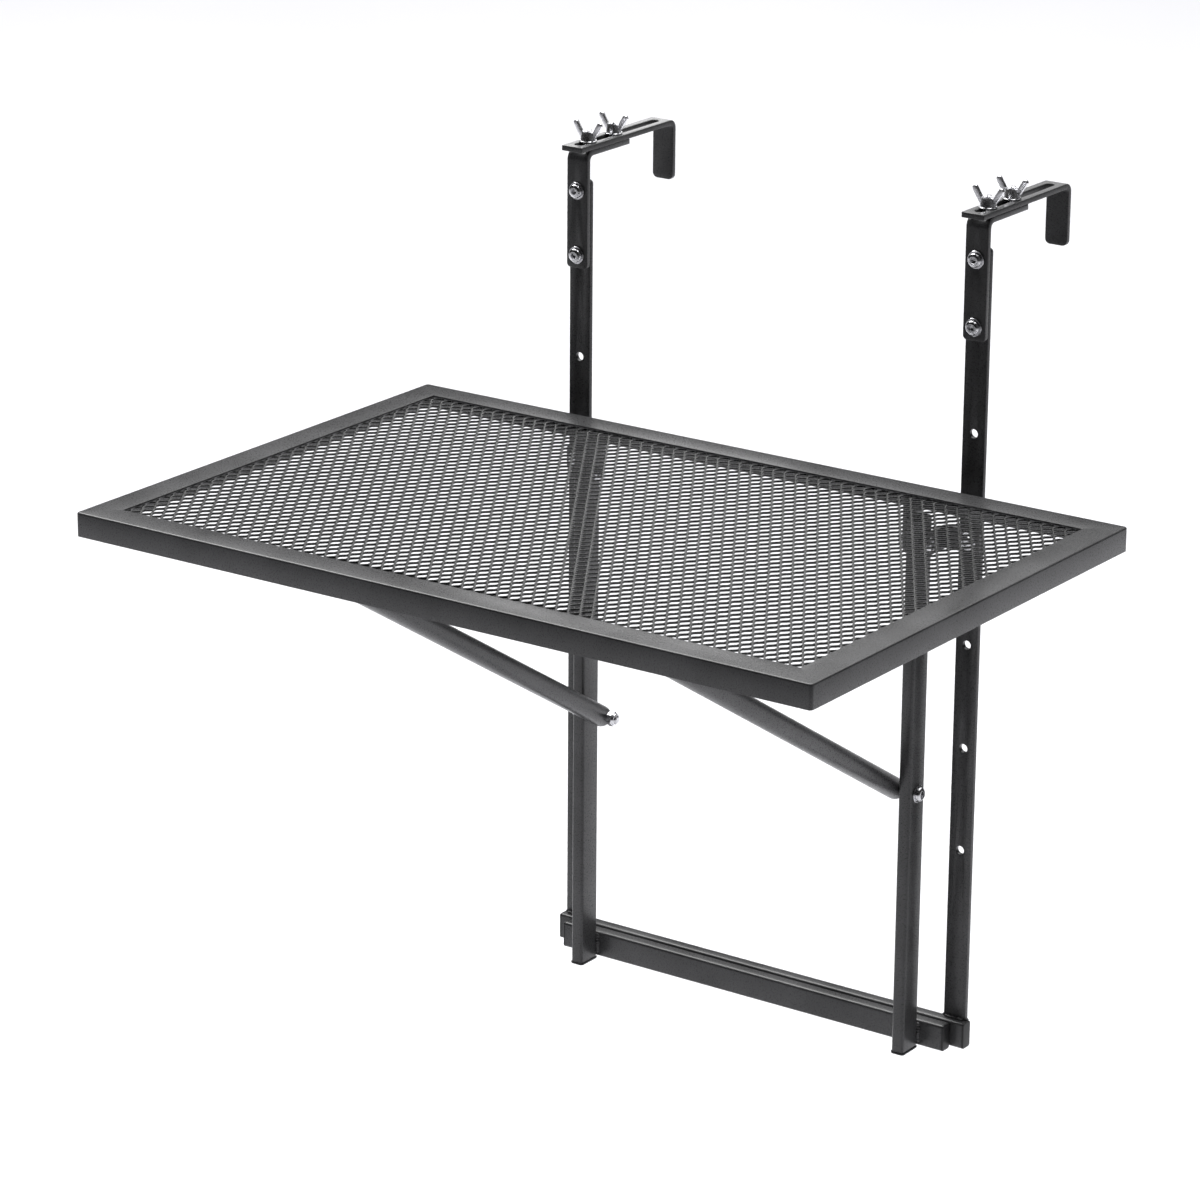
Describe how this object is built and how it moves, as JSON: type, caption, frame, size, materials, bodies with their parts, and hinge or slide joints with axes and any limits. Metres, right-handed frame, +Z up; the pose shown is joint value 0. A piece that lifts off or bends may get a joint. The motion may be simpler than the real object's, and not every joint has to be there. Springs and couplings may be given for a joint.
{
  "type": "balcony railing bar table",
  "caption": "Folding metal bar table with an expanded metal top that hangs from a balcony railing by two slotted, sliding hooks.",
  "frame": {"origin": "midway between the posts, at their rear faces, level with the underside of the arms that rest on the railing", "axes": "+X along the railing, +Y from the table to the railing, +Z up"},
  "size_m": [0.6, 0.522, 0.6407],
  "materials": {
    "coat": "satin powder coat, anthracite",
    "mesh_coat": "satin powder coat, anthracite",
    "zinc": "bright zinc plating",
    "plastic": "black moulded plastic"
  },
  "bodies": {
    "hanger": {"post_left": "coat", "post_right": "coat", "rear_crossbar": "coat", "rear_crossbar_plugs": "plastic", "clamp_bracket_left": "coat", "clamp_bracket_right": "coat", "bracket_bolts": "zinc", "bracket_washers": "zinc", "bracket_nuts": "zinc", "clamp_bolts": "zinc", "clamp_washers": "zinc", "hinge_bracket_left": "coat", "hinge_bracket_right": "coat", "hinge_bracket_bolts": "zinc", "hinge_bracket_washers": "zinc", "hinge_bracket_nuts": "zinc", "pivot_bolts": "zinc", "pivot_nuts": "zinc"},
    "hook_left": {"hook_left": "coat"},
    "hook_right": {"hook_right": "coat"},
    "wing_nut_left_front": {"wing_nut_left_front": "zinc"},
    "wing_nut_left_rear": {"wing_nut_left_rear": "zinc"},
    "wing_nut_right_front": {"wing_nut_right_front": "zinc"},
    "wing_nut_right_rear": {"wing_nut_right_rear": "zinc"},
    "leg_frame": {"leg_left": "coat", "leg_right": "coat", "leg_caps": "plastic", "leg_crossbar": "coat", "leg_crossbar_plugs": "plastic", "brace_bolts": "zinc", "brace_washers": "zinc", "brace_nuts": "zinc"},
    "table_top": {"rail_front": "coat", "rail_rear": "coat", "rail_left": "coat", "rail_right": "coat", "mesh_panel": "mesh_coat", "hinge_tab_left": "coat", "hinge_tab_right": "coat"},
    "brace": {"brace_tube": "coat"}
  },
  "joints": [
    {"name": "hook_left_slide", "type": "slide", "parent": "hanger", "child": "hook_left", "axis": [0, 1, 0], "range_m": [-0.052, 0.011]},
    {"name": "hook_right_slide", "type": "slide", "parent": "hanger", "child": "hook_right", "axis": [0, 1, 0], "range_m": [-0.052, 0.011]},
    {"name": "wing_nut_left_front_turn", "type": "hinge", "parent": "hanger", "child": "wing_nut_left_front", "pos_m": [-0.1685, 0.0055, 0.0092], "axis": [0, 0, 1], "continuous": true},
    {"name": "wing_nut_left_rear_turn", "type": "hinge", "parent": "hanger", "child": "wing_nut_left_rear", "pos_m": [-0.1685, 0.038, 0.0092], "axis": [0, 0, 1], "continuous": true},
    {"name": "wing_nut_right_front_turn", "type": "hinge", "parent": "hanger", "child": "wing_nut_right_front", "pos_m": [0.1685, 0.0055, 0.0092], "axis": [0, 0, 1], "continuous": true},
    {"name": "wing_nut_right_rear_turn", "type": "hinge", "parent": "hanger", "child": "wing_nut_right_rear", "pos_m": [0.1685, 0.038, 0.0092], "axis": [0, 0, 1], "continuous": true},
    {"name": "leg_frame_swing", "type": "hinge", "parent": "hanger", "child": "leg_frame", "pos_m": [0, -0.0304, -0.23], "axis": [1, 0, 0], "range_deg": [-15, 0]},
    {"name": "table_fold", "type": "hinge", "parent": "leg_frame", "child": "table_top", "pos_m": [0, -0.0304, -0.23], "axis": [1, 0, 0], "range_deg": [0, 90]},
    {"name": "brace_fold", "type": "hinge", "parent": "leg_frame", "child": "brace", "pos_m": [0, -0.0304, -0.417], "axis": [1, 0, 0], "range_deg": [0, 121.5]}
  ],
  "couplings": [
    {"joint": "brace_fold", "follows": "table_fold", "ratio": 1.3469}
  ]
}
